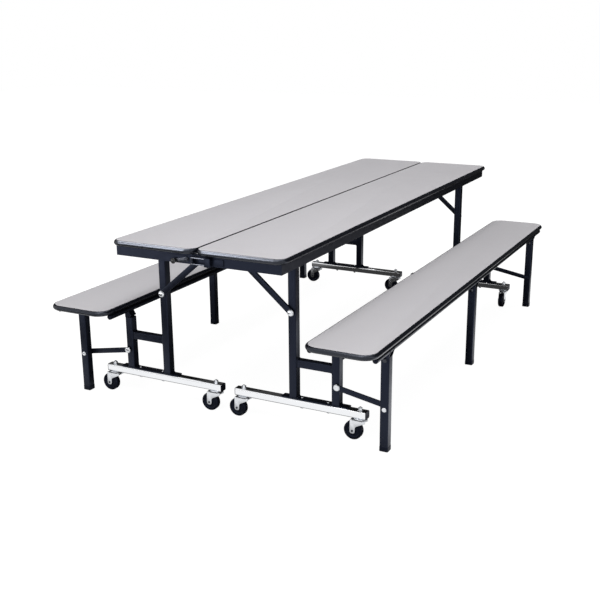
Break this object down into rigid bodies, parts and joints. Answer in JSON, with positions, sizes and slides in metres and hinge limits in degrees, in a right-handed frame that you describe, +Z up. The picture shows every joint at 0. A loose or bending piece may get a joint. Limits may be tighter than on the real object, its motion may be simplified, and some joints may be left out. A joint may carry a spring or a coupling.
{
  "type": "mobile cafeteria table with benches",
  "caption": "Two mobile half-table units latched seam to seam into one dining table with a bench on each side, on castered end frames with tilting tops and fold-up benches.",
  "frame": {"origin": "on the floor, under the middle of the seam between the two half tops", "axes": "+Z up, +Y along the table towards the end without a latch, +X across towards the right unit's bench"},
  "size_m": [1.45, 2.4384, 0.737],
  "materials": {
    "laminate": "satin grey laminate",
    "edging": "satin black moulding",
    "enamel": "black powder coat",
    "chrome": "bright chrome plate",
    "zinc": "bright zinc plate",
    "rubber": "black caster tread",
    "knob": "black moulded knob"
  },
  "bodies": {
    "frames": {"end_frame_right_near": "enamel", "base_tube_right_near": "chrome", "end_frame_right_far": "enamel", "base_tube_right_far": "chrome", "end_frame_left_near": "enamel", "base_tube_left_near": "chrome", "end_frame_left_far": "enamel", "base_tube_left_far": "chrome"},
    "top_right": {"top_board_right": "laminate", "top_edge_right": "edging", "apron_right": "enamel", "pivot_plate_right_near": "enamel", "pivot_plate_right_far": "enamel", "latch_loop": "enamel"},
    "bench_right": {"bench_board_right": "laminate", "bench_edge_right": "edging", "bench_rail_inner_right": "enamel", "bench_rail_outer_right": "enamel"},
    "legs_right": {"leg_middle_right": "enamel", "leg_right_near": "enamel", "leg_right_far": "enamel"},
    "braces_right": {"brace_right_near": "enamel", "brace_right_far": "enamel"},
    "links_right": {"link_right_near": "enamel", "link_right_far": "enamel"},
    "fork_right_near_inner": {"caster_fork_right_near_inner": "zinc"},
    "wheel_right_near_inner": {"caster_wheel_right_near_inner": "rubber"},
    "fork_right_near_outer": {"caster_fork_right_near_outer": "zinc"},
    "wheel_right_near_outer": {"caster_wheel_right_near_outer": "rubber"},
    "fork_right_far_inner": {"caster_fork_right_far_inner": "zinc"},
    "wheel_right_far_inner": {"caster_wheel_right_far_inner": "rubber"},
    "fork_right_far_outer": {"caster_fork_right_far_outer": "zinc"},
    "wheel_right_far_outer": {"caster_wheel_right_far_outer": "rubber"},
    "top_left": {"top_board_left": "laminate", "top_edge_left": "edging", "apron_left": "enamel", "pivot_plate_left_near": "enamel", "pivot_plate_left_far": "enamel", "latch_keeper": "enamel"},
    "bench_left": {"bench_board_left": "laminate", "bench_edge_left": "edging", "bench_rail_inner_left": "enamel", "bench_rail_outer_left": "enamel"},
    "legs_left": {"leg_middle_left": "enamel", "leg_left_near": "enamel", "leg_left_far": "enamel"},
    "braces_left": {"brace_left_near": "enamel", "brace_left_far": "enamel"},
    "links_left": {"link_left_near": "enamel", "link_left_far": "enamel"},
    "fork_left_near_inner": {"caster_fork_left_near_inner": "zinc"},
    "wheel_left_near_inner": {"caster_wheel_left_near_inner": "rubber"},
    "fork_left_near_outer": {"caster_fork_left_near_outer": "zinc"},
    "wheel_left_near_outer": {"caster_wheel_left_near_outer": "rubber"},
    "fork_left_far_inner": {"caster_fork_left_far_inner": "zinc"},
    "wheel_left_far_inner": {"caster_wheel_left_far_inner": "rubber"},
    "fork_left_far_outer": {"caster_fork_left_far_outer": "zinc"},
    "wheel_left_far_outer": {"caster_wheel_left_far_outer": "rubber"},
    "latch_lever": {"latch_lever": "enamel", "latch_knob": "knob"}
  },
  "joints": [
    {"name": "top_tilt_right", "type": "hinge", "parent": "frames", "child": "top_right", "pos_m": [0.3155, 0, 0.69], "axis": [0, 1, 0], "range_deg": [0, 70]},
    {"name": "brace_swing_right", "type": "hinge", "parent": "frames", "child": "braces_right", "pos_m": [0.2965, 0, 0.478], "axis": [0, 1, 0], "range_deg": [0, 46.71]},
    {"name": "bench_fold_right", "type": "hinge", "parent": "frames", "child": "bench_right", "pos_m": [0.488, 0, 0.401], "axis": [0, -1, 0], "range_deg": [0, 80]},
    {"name": "link_swing_right", "type": "hinge", "parent": "frames", "child": "links_right", "pos_m": [0.488, 0, 0.206], "axis": [0, -1, 0], "range_deg": [0, 80]},
    {"name": "leg_swing_right", "type": "hinge", "parent": "bench_right", "child": "legs_right", "pos_m": [0.697, 0, 0.363], "axis": [0, -1, 0], "range_deg": [-80, 0]},
    {"name": "swivel_right_near_inner", "type": "hinge", "parent": "frames", "child": "fork_right_near_inner", "pos_m": [0.066, -0.986, 0.085], "axis": [0, 0, 1], "continuous": true},
    {"name": "roll_right_near_inner", "type": "hinge", "parent": "fork_right_near_inner", "child": "wheel_right_near_inner", "pos_m": [0.039, -0.986, 0.038], "axis": [0, 1, 0], "continuous": true},
    {"name": "swivel_right_near_outer", "type": "hinge", "parent": "frames", "child": "fork_right_near_outer", "pos_m": [0.577, -0.986, 0.085], "axis": [0, 0, 1], "continuous": true},
    {"name": "roll_right_near_outer", "type": "hinge", "parent": "fork_right_near_outer", "child": "wheel_right_near_outer", "pos_m": [0.55, -0.986, 0.038], "axis": [0, 1, 0], "continuous": true},
    {"name": "swivel_right_far_inner", "type": "hinge", "parent": "frames", "child": "fork_right_far_inner", "pos_m": [0.066, 0.986, 0.085], "axis": [0, 0, 1], "continuous": true},
    {"name": "roll_right_far_inner", "type": "hinge", "parent": "fork_right_far_inner", "child": "wheel_right_far_inner", "pos_m": [0.039, 0.986, 0.038], "axis": [0, 1, 0], "continuous": true},
    {"name": "swivel_right_far_outer", "type": "hinge", "parent": "frames", "child": "fork_right_far_outer", "pos_m": [0.577, 0.986, 0.085], "axis": [0, 0, 1], "continuous": true},
    {"name": "roll_right_far_outer", "type": "hinge", "parent": "fork_right_far_outer", "child": "wheel_right_far_outer", "pos_m": [0.577, 0.959, 0.038], "axis": [1, 0, 0], "continuous": true},
    {"name": "top_tilt_left", "type": "hinge", "parent": "frames", "child": "top_left", "pos_m": [-0.3155, 0, 0.69], "axis": [0, -1, 0], "range_deg": [0, 70]},
    {"name": "brace_swing_left", "type": "hinge", "parent": "frames", "child": "braces_left", "pos_m": [-0.2965, 0, 0.478], "axis": [0, -1, 0], "range_deg": [0, 46.71]},
    {"name": "bench_fold_left", "type": "hinge", "parent": "frames", "child": "bench_left", "pos_m": [-0.488, 0, 0.401], "axis": [0, 1, 0], "range_deg": [0, 80]},
    {"name": "link_swing_left", "type": "hinge", "parent": "frames", "child": "links_left", "pos_m": [-0.488, 0, 0.206], "axis": [0, 1, 0], "range_deg": [0, 80]},
    {"name": "leg_swing_left", "type": "hinge", "parent": "bench_left", "child": "legs_left", "pos_m": [-0.697, 0, 0.363], "axis": [0, 1, 0], "range_deg": [-80, 0]},
    {"name": "swivel_left_near_inner", "type": "hinge", "parent": "frames", "child": "fork_left_near_inner", "pos_m": [-0.066, -0.986, 0.085], "axis": [0, 0, 1], "continuous": true},
    {"name": "roll_left_near_inner", "type": "hinge", "parent": "fork_left_near_inner", "child": "wheel_left_near_inner", "pos_m": [-0.093, -0.986, 0.038], "axis": [0, 1, 0], "continuous": true},
    {"name": "swivel_left_near_outer", "type": "hinge", "parent": "frames", "child": "fork_left_near_outer", "pos_m": [-0.577, -0.986, 0.085], "axis": [0, 0, 1], "continuous": true},
    {"name": "roll_left_near_outer", "type": "hinge", "parent": "fork_left_near_outer", "child": "wheel_left_near_outer", "pos_m": [-0.604, -0.986, 0.038], "axis": [0, 1, 0], "continuous": true},
    {"name": "swivel_left_far_inner", "type": "hinge", "parent": "frames", "child": "fork_left_far_inner", "pos_m": [-0.066, 0.986, 0.085], "axis": [0, 0, 1], "continuous": true},
    {"name": "roll_left_far_inner", "type": "hinge", "parent": "fork_left_far_inner", "child": "wheel_left_far_inner", "pos_m": [-0.093, 0.986, 0.038], "axis": [0, 1, 0], "continuous": true},
    {"name": "swivel_left_far_outer", "type": "hinge", "parent": "frames", "child": "fork_left_far_outer", "pos_m": [-0.577, 0.986, 0.085], "axis": [0, 0, 1], "continuous": true},
    {"name": "roll_left_far_outer", "type": "hinge", "parent": "fork_left_far_outer", "child": "wheel_left_far_outer", "pos_m": [-0.604, 0.986, 0.038], "axis": [0, 1, 0], "continuous": true},
    {"name": "latch_turn", "type": "hinge", "parent": "top_left", "child": "latch_lever", "pos_m": [-0.036, -1.2054, 0.694], "axis": [0, -1, 0], "range_deg": [0, 70]}
  ],
  "couplings": [
    {"joint": "brace_swing_right", "follows": "top_tilt_right", "ratio": 0.66591},
    {"joint": "link_swing_right", "follows": "bench_fold_right", "ratio": 1},
    {"joint": "leg_swing_right", "follows": "bench_fold_right", "ratio": -1},
    {"joint": "brace_swing_left", "follows": "top_tilt_left", "ratio": 0.66591},
    {"joint": "link_swing_left", "follows": "bench_fold_left", "ratio": 1},
    {"joint": "leg_swing_left", "follows": "bench_fold_left", "ratio": -1}
  ]
}
